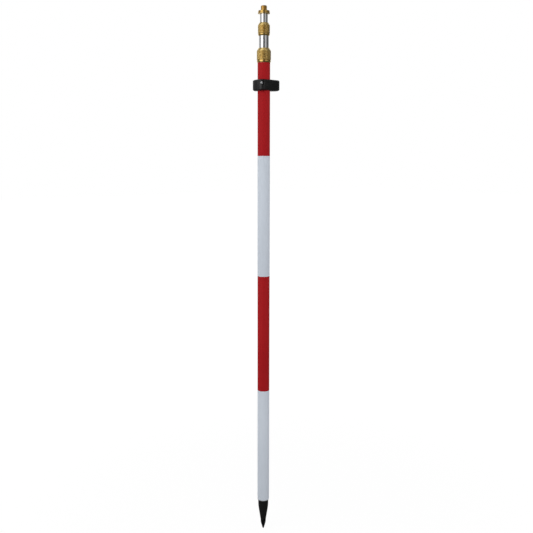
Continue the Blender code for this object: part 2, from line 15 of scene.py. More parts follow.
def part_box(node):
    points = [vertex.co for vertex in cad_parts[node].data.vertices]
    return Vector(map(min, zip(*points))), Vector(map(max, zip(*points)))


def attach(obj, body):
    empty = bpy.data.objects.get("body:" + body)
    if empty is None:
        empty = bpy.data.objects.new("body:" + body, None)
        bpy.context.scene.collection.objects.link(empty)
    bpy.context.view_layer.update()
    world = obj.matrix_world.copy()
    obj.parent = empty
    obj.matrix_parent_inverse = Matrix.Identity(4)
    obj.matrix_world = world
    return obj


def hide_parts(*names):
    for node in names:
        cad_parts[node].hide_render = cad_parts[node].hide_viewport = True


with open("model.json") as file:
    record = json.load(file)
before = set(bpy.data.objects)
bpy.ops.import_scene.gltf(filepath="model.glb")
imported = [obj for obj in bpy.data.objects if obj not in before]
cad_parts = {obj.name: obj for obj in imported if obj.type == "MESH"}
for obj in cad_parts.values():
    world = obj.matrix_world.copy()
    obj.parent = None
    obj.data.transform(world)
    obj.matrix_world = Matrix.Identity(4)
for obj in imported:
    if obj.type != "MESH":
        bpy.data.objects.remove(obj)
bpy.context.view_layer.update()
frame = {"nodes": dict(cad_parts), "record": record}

MM = 0.001                # metres in a millimetre
SIDES = 144               # sides of a round piece
FINE_SIDES = 64           # sides of a small round piece
SCREW_SIDES = 48          # sides of a vial screw
HOLE_SIDES = 32           # sides of the hole it goes through
HEXAGON = 6
SHARP_ANGLE = 35          # degrees between faces that meet in a sharp edge
CORNER_SHARE = 0.45       # of its shorter edge, the most that a rounded corner takes up
TO_FRONT = Matrix.Rotation(pi / 2, 3, "X")    # turns up into -Y
TO_BACK = Matrix.Rotation(-pi / 2, 3, "X")    # turns up into +Y

# ---- camera and lights: metres and degrees -----------------------------------

CAMERA_AZIMUTH = -36.0
CAMERA_DISTANCE = 1.776
CAMERA_HEIGHT = 1.0014
CAMERA_TILT = 8.97        # below the horizon
CAMERA_ASIDE = 0.0075     # moved to its right
CAMERA_ROLL = 0.12
CAMERA_LENS = 47.3

HEAD_HEIGHT = 1.3         # the overhead panels face this point on the pole

# Soft boxes: degrees to the right of the camera, degrees above level, distance,
# height of the point they face, width, height, brightness and what they light.
SOFT_BOXES = {
    "key": (-47.0, 0.0, 1.7, 1.55, 1.85, 2.0, 1.3, "all"),
    "key_matt": (-47.0, 0.0, 1.7, 1.55, 1.85, 2.0, 1.75, "matt"),
    "fill": (38.0, 0.0, 1.9, 1.35, 0.95, 2.2, 0.46, "all"),
    "fill_side": (66.0, 0.0, 1.9, 1.35, 0.90, 2.2, 0.20, "all"),
    "fill_matt": (70.0, 0.0, 2.0, 1.40, 2.2, 2.2, 0.60, "matt"),
    "left_side": (-98.0, 0.0, 2.2, 1.30, 1.8, 2.2, 0.17, "all"),
    "left_back": (-152.0, 0.0, 2.2, 1.30, 2.5, 2.2, 0.54, "all"),
    "right_back": (152.0, 0.0, 2.2, 1.30, 1.6, 2.2, 0.45, "all"),
    "over_left": (-50.0, 60.0, 1.6, HEAD_HEIGHT, 0.8, 0.9, 0.85, "gloss"),
    "over_right": (44.0, 60.0, 1.6, HEAD_HEIGHT, 0.7, 0.9, 0.5, "gloss"),
    "under_left": (-47.0, -38.0, 1.5, HEAD_HEIGHT, 1.2, 0.8, 0.5, "gloss"),
}
UPPER_TALL = 1.3          # height of the panel above each "all" one, for the pole drawn out
ROOM_GLOSS = 0.08         # the room as polished surfaces see it
ROOM_GLOW = 0.50          # the room as matt surfaces are lit by it
BACKDROP = 1.0
FLOOR_SIZE = 30.0
FLOOR_ALBEDO = 0.05       # low, so that the floor never outshines the backdrop
FLOOR_GLOW = (0.95, 0.99) # next to the pole, and away from it
FLOOR_FADE = (0.3, 2.0)

# ---- shape of the pieces: millimetres ----------------------------------------

HAIRLINE = 0.05           # between sleeves, and between them and the tube
PLUG_GAP = 0.2            # between a plug and the tube round it
SLIDE_GAP = 0.3           # between a lock's hole and the tube that slides in it
POLE_GAP = 0.25           # between the bracket and the pole
OVERSHOOT = 1.0           # of a cutter past the face that it cuts

KNURL_COUNT = 78          # diamonds round a nut
KNURL_DEPTH = 0.28
KNURL_LAND = 0.44         # share of a diamond that is its flat top
KNURL_SHARP_ANGLE = 22    # keeps the edges of the diamonds sharp
NUT_FOOT = 1.1            # height of the chamfer below the knurl
NUT_SHOULDER = 0.5        # height of the chamfer above it
CROWN_SLOPE = 1.45        # rise of a nut's crown for its run
CROWN_WALL = 9.0          # height of the crown's narrow hole
NUT_CAVITY = 16.0         # depth of the hole for the neck
CONE_DEPTH = 9.0          # of the seat that squeezes the collet

LOCK_PITCH = 2.0
LOCK_THREAD_DEPTH = 0.7
STUD_RADIUS = 7.8
STUD_PITCH = 25.4 / 11
STUD_THREAD_DEPTH = 1.45
STUD_RELIEF = 0.4         # depth of the groove round the stud's foot
THREAD_ROWS = 14          # rows of vertices in one turn's height
THREAD_CREST = 1.45       # more makes the crests wider
THREAD_FLANK = 3.9        # more makes the flanks steeper

BRACKET_CORNER = 12.0
EDGE_RISE = 3.0           # height of the bracket's eased edges
EDGE_WIDTH = 5.2          # and their width, but less above the cup
CUP_EDGE_WIDTH = 2.2
CUP_LIFT = 2.0            # rise of the underside towards the cup
EDGE_POWER = 1.45         # 1 for a round edge, 2 for a flat one
EDGE_STEPS = 7
ARC_STEP = 4.0            # degrees
SLIT_HALF_WIDTH = 0.9
CLAMP_HOLE = 1.8
CLAMP_THREAD_HOLE = 1.7   # of the washer and of the nut
HEAD_RECESS_GAP = 1.2     # between the washer and the wall of its recess
NUT_POCKET_GAP = 0.35
VIAL_POCKET_GAP = 0.35
VIAL_HOLE = 1.05
VIAL_SCREWS = (1, 2, 3)


# ---- mesh helpers ------------------------------------------------------------

def box(node):
    """A CAD node's lowest and highest corners, in millimetres."""
    low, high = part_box(node)
    return low / MM, high / MM


def radius_of(node):
    """The outer radius of a CAD node that is round about a vertical axis."""
    low, high = box(node)
    return (high.x - low.x) / 2


def middle_of(node):
    """The middle of a CAD node's box, in millimetres."""
    return Vector([(low + high) / 2 for low, high in zip(*box(node))])


def mesh_from(name, bm, sharp=SHARP_ANGLE):
    """Turn a bmesh in millimetres into a smooth-shaded mesh in metres."""
    bmesh.ops.scale(bm, vec=(MM, MM, MM), verts=bm.verts)
    bmesh.ops.recalc_face_normals(bm, faces=bm.faces)
    mesh = bpy.data.meshes.new(name)
    bm.to_mesh(mesh)
    bm.free()
    mesh.shade_smooth()
    mesh.set_sharp_from_angle(angle=radians(sharp))
    return mesh


def add_object(name, bm, sharp=SHARP_ANGLE):
    """An object in the scene with that bmesh."""
    obj = bpy.data.objects.new(name, mesh_from(name, bm, sharp))
    bpy.context.collection.objects.link(obj)
    return obj


def piece(obj, body, finish, slot=None, stands_for=()):
    """Give an object its finish and tie it to the frame."""
    obj.data.materials.clear()
    obj.data.materials.append(finish)
    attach(obj, body)
    if stands_for:
        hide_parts(*stands_for)
    return obj


def softened(outline, rounding, steps=4, closed=False):
    """Round the corners of an outline.

    A point may carry its own rounding as a third number.  Each corner becomes
    a short parabola that starts and ends at most that far from it.
    """
    made = []
    count = len(outline)
    for index, point in enumerate(outline):
        if not closed and index in (0, count - 1):
            made.append(tuple(point[:2]))
            continue
        corner = Vector(point[:2])
        before = Vector(outline[index - 1][:2]) - corner
        after = Vector(outline[(index + 1) % count][:2]) - corner
        wanted = point[2] if len(point) > 2 else rounding
        reach = min(wanted, CORNER_SHARE * before.length, CORNER_SHARE * after.length)
        start = corner + before.normalized() * reach
        end = corner + after.normalized() * reach
        for step in range(steps + 1):
            t = step / steps
            made.append(tuple(start * (1 - t) ** 2 + corner * 2 * t * (1 - t) + end * t ** 2))
    return made


def ring(bm, radius, height, sides):
    """A circle of vertices round Z, whose radius may be a function of the angle."""
    made = []
    for step in range(sides):
        angle = 2 * pi * step / sides
        reach = radius(angle) if callable(radius) else radius
        made.append(bm.verts.new((reach * cos(angle), reach * sin(angle), height)))
    return made


def bridge(bm, first, second):
    """A band of quads between two circles of the same count."""
    for step in range(len(first)):
        after = (step + 1) % len(first)
        bm.faces.new((first[step], first[after], second[after], second[step]))


def lathe(outline, sides=SIDES):
    """A solid turned round Z from (radius, height) points.

    An outline that starts and ends on the axis is capped there.  Any other
    outline is closed into a ring.  A radius may be a function of the angle.
    """
    bm = bmesh.new()
    solid = outline[0][0] == 0
    shown = outline[1:-1] if solid else outline
    rings = [ring(bm, radius, height, sides) for radius, height in shown]
    for first, second in zip(rings, rings[1:]):
        bridge(bm, first, second)
    if solid:
        bm.faces.new(rings[0])
        bm.faces.new(rings[-1])
    else:
        bridge(bm, rings[-1], rings[0])
    return bm


def tube_outline(inner, outer, bottom, top):
    """The section of a plain tube, for lathe."""
    return [(inner, bottom), (outer, bottom), (outer, top), (inner, top)]


def rod(radius, bottom, top, sides):
    """A plain round bar, or one of few sides."""
    return lathe(tube_outline(0, radius, bottom, top), sides)


def block(low, high):
    """A box between two corners."""
    bm = bmesh.new()
    bmesh.ops.create_cube(bm, size=1.0)
    low, high = Vector(low), Vector(high)
    bmesh.ops.scale(bm, vec=high - low, verts=bm.verts)
    bmesh.ops.translate(bm, vec=(high + low) / 2, verts=bm.verts)
    return bm


def moved(bm, offset=(0, 0, 0), turn=None):
    """Turn a bmesh about the origin, then move it."""
    if turn is not None:
        bmesh.ops.rotate(bm, cent=(0, 0, 0), matrix=turn, verts=bm.verts)
    bmesh.ops.translate(bm, vec=offset, verts=bm.verts)
    return bm


def carved(name, bm, cutters):
    """An object with every cutter's shape taken out of it."""
    target = add_object(name, bm)
    tools = [add_object(f"{name}_cutter_{number}", cutter) for number, cutter in enumerate(cutters)]
    for tool in tools:
        boolean = target.modifiers.new(tool.name, "BOOLEAN")
        boolean.operation = "DIFFERENCE"
        boolean.solver = "EXACT"
        boolean.object = tool
    bpy.context.view_layer.update()
    result = bpy.data.meshes.new_from_object(
        target.evaluated_get(bpy.context.evaluated_depsgraph_get()))
    target.modifiers.clear()
    target.data = result
    for tool in tools:
        bpy.data.objects.remove(tool, do_unlink=True)
    result.shade_smooth()
    result.set_sharp_from_angle(angle=radians(SHARP_ANGLE))
    return target


def thread_outline(crest, depth, pitch, bottom, top, chamfer, chamfer_foot=True):
    """Rows of a helical V thread with flat crests, chamfered at its top or both ends."""
    rows = ceil((top - bottom) / pitch * THREAD_ROWS)

    def radius_at(height):
        def radius(angle):
            turn = (height / pitch - angle / (2 * pi)) % 1.0
            ridge = min(1.0, max(0.0, THREAD_CREST - abs(turn - 0.5) * THREAD_FLANK))
            reach = crest - depth + depth * ridge
            if chamfer_foot:
                reach = min(reach, crest - chamfer + (height - bottom))
            return min(reach, crest - chamfer + (top - height))
        return radius

    for row in range(rows + 1):
        height = bottom + (top - bottom) * row / rows
        yield radius_at(height), height


# ---- materials ---------------------------------------------------------------

class Finish:
    """A Principled material, with short calls for the nodes that vary it."""

    def __init__(self, name, color, roughness, metallic=0.0, specular=0.5):
        self.material = bpy.data.materials.new(name)
        self.material.use_nodes = True
        self.tree = self.material.node_tree
        self.shader = self.tree.nodes["Principled BSDF"]
        self.set(self.shader, "Base Color", (*color, 1.0))
        self.set(self.shader, "Roughness", roughness)
        self.set(self.shader, "Metallic", metallic)
        self.set(self.shader, "Specular IOR Level", specular)

    def set(self, node, socket, value):
        """Set an input, or link it when the value is another node's output."""
        target = node.inputs[socket]
        if isinstance(value, bpy.types.NodeSocket):
            self.tree.links.new(value, target)
        else:
            target.default_value = value

    def node(self, kind, **values):
        """A new node, with its inputs set by their names."""
        made = self.tree.nodes.new(kind)
        for name, value in values.items():
            self.set(made, name.replace("_", " "), value)
        return made

    def noise(self, scale, stretch=(1, 1, 1), detail=3.0, roughness=0.5):
        """Noise in object space, scale in features per metre, as a 0 to 1 value."""
        where = self.node("ShaderNodeTexCoord")
        mapping = self.node("ShaderNodeMapping", Vector=where.outputs["Object"])
        mapping.inputs["Scale"].default_value = stretch
        made = self.node("ShaderNodeTexNoise", Vector=mapping.outputs[0], Scale=scale,
                         Detail=detail, Roughness=roughness)
        return made.outputs["Fac"]

    def remap(self, value, low, high, to_low=0.0, to_high=1.0):
        """The value eased from one range into another."""
        made = self.node("ShaderNodeMapRange", Value=value, From_Min=low, From_Max=high,
                         To_Min=to_low, To_Max=to_high)
        made.interpolation_type = "SMOOTHSTEP"
        return made.outputs[0]

    def blend(self, factor, first, second):
        """Mix two colours, given as three numbers or as outputs."""
        made = self.tree.nodes.new("ShaderNodeMix")
        made.data_type = "RGBA"
        self.set(made, 0, factor)
        for socket, color in ((6, first), (7, second)):
            linked = isinstance(color, bpy.types.NodeSocket)
            self.set(made, socket, color if linked else (*color, 1.0))
        return made.outputs[2]

    def multiply(self, first, second):
        made = self.tree.nodes.new("ShaderNodeMath")
        made.operation = "MULTIPLY"
        self.set(made, 0, first)
        self.set(made, 1, second)
        return made.outputs[0]

    def height(self):
        """Height on the object, in metres."""
        where = self.node("ShaderNodeTexCoord")
        return self.node("ShaderNodeSeparateXYZ", Vector=where.outputs["Object"]).outputs["Z"]

    def attribute(self, name):
        """A number that the mesh stores for each vertex."""
        made = self.tree.nodes.new("ShaderNodeAttribute")
        made.attribute_name = name
        return made.outputs["Fac"]

    def color(self, value):
        self.set(self.shader, "Base Color", value)

    def roughness(self, value):
        self.set(self.shader, "Roughness", value)

    def bump(self, value, strength, distance):
        """Bumps as high as distance, in millimetres, on top of those already there."""
        made = self.node("ShaderNodeBump", Height=value, Strength=strength, Distance=distance * MM)
        before = self.shader.inputs["Normal"]
        if before.is_linked:
            self.set(made, "Normal", before.links[0].from_socket)
        self.set(self.shader, "Normal", made.outputs[0])


def brass(name, bright, dull, polish):
    """Turned brass: lathe lines, a little tarnish, painted shade where it is cut deep."""
    made = Finish(name, bright, polish, metallic=1.0)
    tarnish = made.remap(made.noise(90, detail=5.0), 0.35, 0.75)
    color = made.blend(made.multiply(tarnish, 0.45), bright, dull)
    # painted shade: the knurl's grooves are darkened towards dark brown, where shade falls
    painted_groove_shade = made.attribute("groove")
    made.color(made.blend(made.multiply(painted_groove_shade, 0.6), color, (0.30, 0.19, 0.065)))
    smear = made.noise(400, stretch=(1, 1, 4))
    made.roughness(made.remap(smear, 0.3, 0.75, polish - 0.05, polish + 0.10))
    lines = made.noise(60, stretch=(1, 1, 60), detail=2.0)
    made.bump(lines, 0.25, 0.02)
    return made.material


def drawn_aluminium(name):
    """Drawn and polished tube: fine lines along it and faint handling marks."""
    made = Finish(name, (0.86, 0.87, 0.88), 0.10, metallic=1.0)
    lines = made.noise(900, stretch=(1, 1, 0.01), detail=2.0)
    cloud = made.noise(35, detail=4.0)
    made.color(made.blend(made.multiply(lines, 0.5), (0.88, 0.885, 0.89), (0.78, 0.79, 0.80)))
    made.roughness(made.remap(cloud, 0.35, 0.7, 0.08, 0.16))
    made.bump(lines, 0.15, 0.01)
    return made.material


def satin_aluminium(name):
    """As-cut tube: brushed lines round it and a dull bright surface."""
    made = Finish(name, (0.93, 0.93, 0.94), 0.48, metallic=1.0)
    lines = made.noise(60, stretch=(1, 1, 60), detail=2.0)
    made.color(made.blend(lines, (0.95, 0.95, 0.96), (0.84, 0.84, 0.86)))
    made.roughness(made.remap(lines, 0.3, 0.7, 0.44, 0.54))
    made.bump(lines, 0.15, 0.01)
    return made.material


def colour_film(name, base, shade, scuff):
    """Matt coloured film: faint mottling, orange peel and a few rubbed marks."""
    made = Finish(name, base, 0.6, specular=0.10)
    mottle = made.noise(14, stretch=(1, 1, 0.35), detail=5.0)
    color = made.blend(made.remap(mottle, 0.3, 0.75), base, shade)
    streaks = made.remap(made.noise(700, stretch=(1, 1, 0.04), detail=3.0), 0.62, 0.8, 0.0, 0.25)
    made.color(made.blend(streaks, color, scuff))
    made.roughness(made.remap(mottle, 0.3, 0.7, 0.50, 0.66))
    made.bump(made.noise(1600, detail=1.0), 0.12, 0.02)
    made.bump(streaks, 0.2, 0.01)
    return made.material


def moulded_black(name, base, roughness, grain=0.25):
    """Black moulded plastic with an eroded-mould grain and lighter rubbed spots."""
    made = Finish(name, base, roughness)
    rubbed = made.remap(made.noise(110, detail=6.0, roughness=0.65), 0.55, 0.8)
    lighter = tuple(part * 1.8 + 0.002 for part in base)
    made.color(made.blend(rubbed, base, lighter))
    cloud = made.noise(260, detail=4.0)
    made.roughness(made.remap(cloud, 0.3, 0.7, roughness - 0.07, roughness + 0.08))
    made.bump(made.noise(3200, detail=2.0), grain, 0.03)
    return made.material


def blackened_steel(name):
    """Oxide-black steel, worn to bare metal towards its very end."""
    made = Finish(name, (0.035, 0.035, 0.037), 0.34, metallic=1.0)
    patches = made.noise(420, stretch=(1, 1, 0.5), detail=6.0, roughness=0.6)
    near_end = made.remap(made.height(), 0.0, 0.005, 1.0, 0.0)
    worn = made.multiply(near_end, made.remap(patches, 0.42, 0.62))
    mottle = made.remap(patches, 0.3, 0.7)
    dull = made.blend(mottle, (0.028, 0.028, 0.030), (0.055, 0.055, 0.058))
    made.color(made.blend(worn, dull, (0.26, 0.26, 0.27)))
    made.roughness(made.remap(patches, 0.3, 0.7, 0.28, 0.42))
    made.bump(made.noise(60, stretch=(1, 1, 60), detail=2.0), 0.25, 0.02)
    return made.material


def plated_steel(name, color, roughness):
    """Zinc-plated or nickel-plated steel with a fine uneven lustre."""
    made = Finish(name, color, roughness, metallic=1.0)
    cloud = made.noise(700, detail=4.0)
    darker = tuple(part * 0.72 for part in color)
    made.color(made.blend(made.remap(cloud, 0.35, 0.7), color, darker))
    made.roughness(made.remap(cloud, 0.3, 0.7, roughness - 0.05, roughness + 0.1))
    made.bump(cloud, 0.1, 0.01)
    return made.material


def soft_plastic(name, color, roughness):
    """Nylon or rubber: uneven colour and a fine dull grain."""
    made = Finish(name, color, roughness)
    cloud = made.noise(180, detail=5.0)
    darker = tuple(part * 0.75 for part in color)
    made.color(made.blend(made.remap(cloud, 0.3, 0.7), color, darker))
    made.roughness(made.remap(cloud, 0.3, 0.7, roughness - 0.08, roughness + 0.08))
    made.bump(made.noise(2600, detail=2.0), 0.3, 0.03)
    return made.material


def lens_glass(name):
    """Clear acrylic: almost gone face on, glossy towards its edge."""
    made = Finish(name, (0.93, 0.97, 0.95), 0.03)
    edge = made.node("ShaderNodeLayerWeight", Blend=0.35).outputs["Fresnel"]
    haze = made.remap(made.noise(500, detail=4.0), 0.5, 0.8, 0.02, 0.08)
    made.roughness(haze)
    made.set(made.shader, "Alpha", made.remap(edge, 0.0, 1.0, 0.06, 0.80))
    return made.material


def level_fluid(name):
    """Tinted spirit with an uneven, swirled tint."""
    made = Finish(name, (0.50, 0.80, 0.06), 0.12)
    cloud = made.noise(160, detail=3.0)
    swirl = made.remap(cloud, 0.3, 0.7)
    made.color(made.blend(swirl, (0.55, 0.86, 0.05), (0.44, 0.74, 0.03)))
    made.roughness(made.remap(cloud, 0.3, 0.7, 0.08, 0.16))
    return made.material


def make_finishes():
    """Every material, by what it is used for."""
    return {
        "tube": drawn_aluminium("polished_tube"),
        "raw tube": satin_aluminium("satin_tube"),
        "red": colour_film("red_film", (0.39, 0.009, 0.012), (0.34, 0.006, 0.009),
                           (0.44, 0.02, 0.02)),
        "white": colour_film("white_film", (0.61, 0.66, 0.73), (0.57, 0.62, 0.69),
                             (0.50, 0.53, 0.58)),
        # painted light: the nut's brass is lighter than the head's, standing in for light that its
        # knurl facets miss
        "nut brass": brass("knurled_brass", (0.99, 0.75, 0.30), (0.88, 0.60, 0.18), 0.35),
        "head brass": brass("turned_brass", (0.80, 0.56, 0.19), (0.60, 0.38, 0.10), 0.20),
        "point": moulded_black("point_plastic", (0.006, 0.006, 0.0065), 0.32, 0.12),
        "bracket": moulded_black("bracket_plastic", (0.0045, 0.0045, 0.005), 0.40),
        "case": moulded_black("anodised_case", (0.016, 0.016, 0.017), 0.30, 0.08),
        "tip": blackened_steel("blackened_steel"),
        "screw": plated_steel("plated_steel", (0.74, 0.75, 0.77), 0.18),
        "nylon": soft_plastic("nylon", (0.75, 0.73, 0.66), 0.50),
        "rubber": soft_plastic("rubber", (0.022, 0.022, 0.022), 0.75),
        "mark": moulded_black("ring_ink", (0.01, 0.01, 0.01), 0.35, 0.05),
        "glass": lens_glass("clear_lens"),
        "fluid": level_fluid("level_fluid"),
        "bubble": soft_plastic("bubble", (0.78, 0.95, 0.38), 0.12),
    }


# ---- camera, floor and lights ------------------------------------------------

def towards(azimuth, elevation=0.0):
    """The unit vector that points at a viewer standing at that azimuth."""
    turn, rise = radians(azimuth), radians(elevation)
    return Vector((sin(turn) * cos(rise), -cos(turn) * cos(rise), sin(rise)))


def add_camera():
    """The camera, tilted down a little and rolled a trifle."""
    data = bpy.data.cameras.new("camera")
    data.sensor_width = 36.0
    data.lens = CAMERA_LENS
    data.clip_start = 0.05
    data.clip_end = 100.0
    camera = bpy.data.objects.new("camera", data)
    bpy.context.collection.objects.link(camera)
    aside = towards(CAMERA_AZIMUTH + 90) * CAMERA_ASIDE
    camera.location = towards(CAMERA_AZIMUTH) * CAMERA_DISTANCE + aside
    camera.location.z = CAMERA_HEIGHT
    back = towards(CAMERA_AZIMUTH, CAMERA_TILT)
    look = (-back).to_track_quat("-Z", "Y").to_matrix()
    roll = Matrix.Rotation(radians(CAMERA_ROLL), 3, "Z")
    camera.rotation_euler = (look @ roll).to_euler()
    bpy.context.scene.camera = camera


def add_soft_box(name, aside, rise, distance, height, width, tall, brightness, lights):
    """A soft box facing the pole's axis, for matt surfaces, polished ones or all."""
    data = bpy.data.lights.new(name, "AREA")
    data.shape = "RECTANGLE"
    data.size = width
    data.size_y = tall
    data.energy = brightness * pi * width * tall
    light = bpy.data.objects.new(name, data)
    bpy.context.collection.objects.link(light)
    back = towards(CAMERA_AZIMUTH + aside, rise)
    light.location = back * distance + Vector((0, 0, height))
    light.rotation_euler = (-back).to_track_quat("-Z", "Y").to_euler()
    light.visible_camera = False
    light.visible_diffuse = lights != "gloss"
    light.visible_glossy = lights != "matt"


def add_lights():
    """The soft boxes, and panels above the main ones for the pole drawn out."""
    for name, setting in SOFT_BOXES.items():
        aside, rise, distance, height, width, tall, brightness, lights = setting
        add_soft_box(name, aside, rise, distance, height, width, tall, brightness, lights)
        if lights == "all":
            above = height + (tall + UPPER_TALL) / 2
            add_soft_box(f"{name}_upper", aside, rise, distance, above, width, UPPER_TALL,
                         brightness, "gloss")


def add_world():
    """A white backdrop to look at, and a dimmer room to be lit by."""
    world = bpy.data.worlds.new("studio")
    bpy.context.scene.world = world
    world.use_nodes = True
    tree = world.node_tree
    tree.nodes.clear()
    path = tree.nodes.new("ShaderNodeLightPath")
    shown = None
    rays = ((None, ROOM_GLOSS), ("Is Diffuse Ray", ROOM_GLOW), ("Is Camera Ray", BACKDROP))
    for ray, strength in rays:
        glow = tree.nodes.new("ShaderNodeBackground")
        glow.inputs["Color"].default_value = (1, 1, 1, 1)
        glow.inputs["Strength"].default_value = strength
        if shown is None:
            shown = glow.outputs[0]
            continue
        mix = tree.nodes.new("ShaderNodeMixShader")
        tree.links.new(path.outputs[ray], mix.inputs[0])
        tree.links.new(shown, mix.inputs[1])
        tree.links.new(glow.outputs[0], mix.inputs[2])
        shown = mix.outputs[0]
    out = tree.nodes.new("ShaderNodeOutputWorld")
    tree.links.new(shown, out.inputs[0])


def add_floor():
    """A pale floor that glows a little, so that it runs into the backdrop."""
    bm = bmesh.new()
    bmesh.ops.create_grid(bm, x_segments=1, y_segments=1, size=FLOOR_SIZE / 2 / MM)
    floor = add_object("floor", bm)
    pale = Finish("pale_floor", (FLOOR_ALBEDO,) * 3, 0.9, specular=0.0)
    where = pale.node("ShaderNodeTexCoord").outputs["Object"]
    away = pale.tree.nodes.new("ShaderNodeVectorMath")
    away.operation = "LENGTH"
    pale.set(away, "Vector", where)
    glow = pale.remap(away.outputs["Value"], *FLOOR_FADE, *FLOOR_GLOW)
    pale.set(pale.shader, "Emission Color", (1.0, 1.0, 1.0, 1.0))
    pale.set(pale.shader, "Emission Strength", glow)
    floor.data.materials.append(pale.material)
    floor.visible_diffuse = False
    floor.visible_glossy = False


# ---- tubes, sleeves and the foot ---------------------------------------------

def add_tubes(finishes):
    """The three tubes, each wall as thick as the plug inside it allows."""
    tubes = (
        ("outer_tube", "foot_plug", "lower_section", "tube_metal", "raw tube"),
        ("middle_tube", "middle_floor_plug", "middle_section", "sliding_metal", "tube"),
        ("inner_tube", "head_plug", "inner_section", "sliding_metal", "tube"),
    )
    for node, plug, body, slot, finish in tubes:
        low, high = box(node)
        outline = tube_outline(radius_of(plug) + PLUG_GAP, radius_of(node), low.z, high.z)
        tube = add_object(f"{node}_drawn", lathe(softened(outline, 0.45, closed=True)))
        piece(tube, body, finishes[finish], slot, [node])


def add_sleeves(finishes):
    """The colour sleeves, which meet at a hairline."""
    names = ("white_band_lower", "red_band_lower", "white_band_upper", "red_band_upper")
    inner = radius_of("outer_tube") + HAIRLINE
    for number, node in enumerate(names):
        low, high = box(node)
        above = names[number + 1:number + 2]
        top = box(above[0])[0].z - HAIRLINE if above else high.z
        outline = tube_outline(inner, radius_of(node), low.z, top)
        sleeve = add_object(f"{node}_film", lathe(softened(outline, 0.14, 2, closed=True)))
        color = node.split("_")[0]
        piece(sleeve, "lower_section", finishes[color], f"{color}_sleeve", [node])


def add_point(finishes):
    """The black point and its replaceable steel tip."""
    low, high = box("point_cone")
    collar = radius_of("point_cone")
    bed = box("outer_tube")[0].z
    tip_low, tip_high = box("point_tip")
    tip_collar = radius_of("point_tip")
    shank = tip_collar - 4.1      # of the tip, in the cone
    stud = collar - 5.65          # of the cone, in the foot plug
    cone = [
        (0, tip_high.z + 0.2),
        (shank + 0.3, tip_high.z + 0.2),
        (shank + 0.3, low.z, 0.1),
        (tip_collar - 0.1, low.z, 0.3),
        (tip_collar + 0.35, low.z + 1.2, 0.6),
        (collar - 1.9, 54.6, 6.0),
        (collar - 0.45, 65.0, 5.0),
        (collar, 73.0, 4.0),
        (collar, bed - 0.3, 0.35),
        (stud, bed - 0.3, 0.1),
        (stud, high.z, 0.8),
        (0, high.z),
    ]
    body = add_object("point_cone_moulded", lathe(softened(cone, 0.4, 6)))
    piece(body, "lower_section", finishes["point"], "point_plastic", ["point_cone"])

    tip = [
        (0, tip_low.z),
        (1.5, tip_low.z, 0.5),
        (2.1, tip_low.z + 1.4, 1.0),
        (tip_collar - 0.4, 18.2, 0.5),
        (tip_collar - 0.3, 19.4, 0.5),
        (tip_collar, low.z - 0.3, 0.3),
        (shank, low.z - 0.3, 0.1),
        (shank, tip_high.z, 0.4),
        (0, tip_high.z),
    ]
    steel = add_object("point_tip_turned", lathe(softened(tip, 0.3, 4)))
    piece(steel, "lower_section", finishes["tip"], "point_steel", ["point_tip"])


# ---- twist locks -------------------------------------------------------------

def mark_grooves(obj, depths):
    """Store how deep each vertex lies in a cut, 0 to 1, for the brass's painted groove shade to
    read.
    """
    layer = obj.data.attributes.new("groove", "FLOAT", "POINT")
    layer.data.foreach_set("value", depths)


def knurl(bm, radius, bottom, top, deep):
    """A diamond knurl between two heights, and its lowest and highest circles.

    Diamonds are centred where row and column add up to an even number.  Their
    corners, the deepest points, are where they add up to an odd one.
    """
    columns = 2 * KNURL_COUNT
    rows = max(2, 2 * round((top - bottom) / (pi * radius / KNURL_COUNT) / 2))

    def place(column, row, reach):
        angle = 2 * pi * column / columns
        height = bottom + (top - bottom) * row / rows
        return bm.verts.new((reach * cos(angle), reach * sin(angle), height))

    valley = {}
    for row in range(rows + 1):
        for column in range(columns):
            if (row + column) % 2 or row in (0, rows):
                vert = place(column, row, radius - KNURL_DEPTH)
                valley[column, row] = vert
                deep.add(vert)

    for row in range(rows + 1):
        for column in range(row % 2, columns, 2):
            left, right = (column - 1) % columns, (column + 1) % columns
            if row in (0, rows):
                inward = 1 if row == 0 else rows - 1
                bm.faces.new((valley[left, row], valley[column, row], valley[right, row],
                              valley[column, inward]))
                continue
            corners = (valley[left, row], valley[column, row - 1], valley[right, row],
                       valley[column, row + 1])
            lands = (
                place(column - KNURL_LAND, row, radius),
                place(column, row - KNURL_LAND, radius),
                place(column + KNURL_LAND, row, radius),
                place(column, row + KNURL_LAND, radius),
            )
            bm.faces.new(lands)
            for side in range(4):
                after = (side + 1) % 4
                bm.faces.new((corners[side], corners[after], lands[after], lands[side]))
    lowest = [valley[column, 0] for column in range(columns)]
    highest = [valley[column, rows] for column in range(columns)]
    return lowest, highest


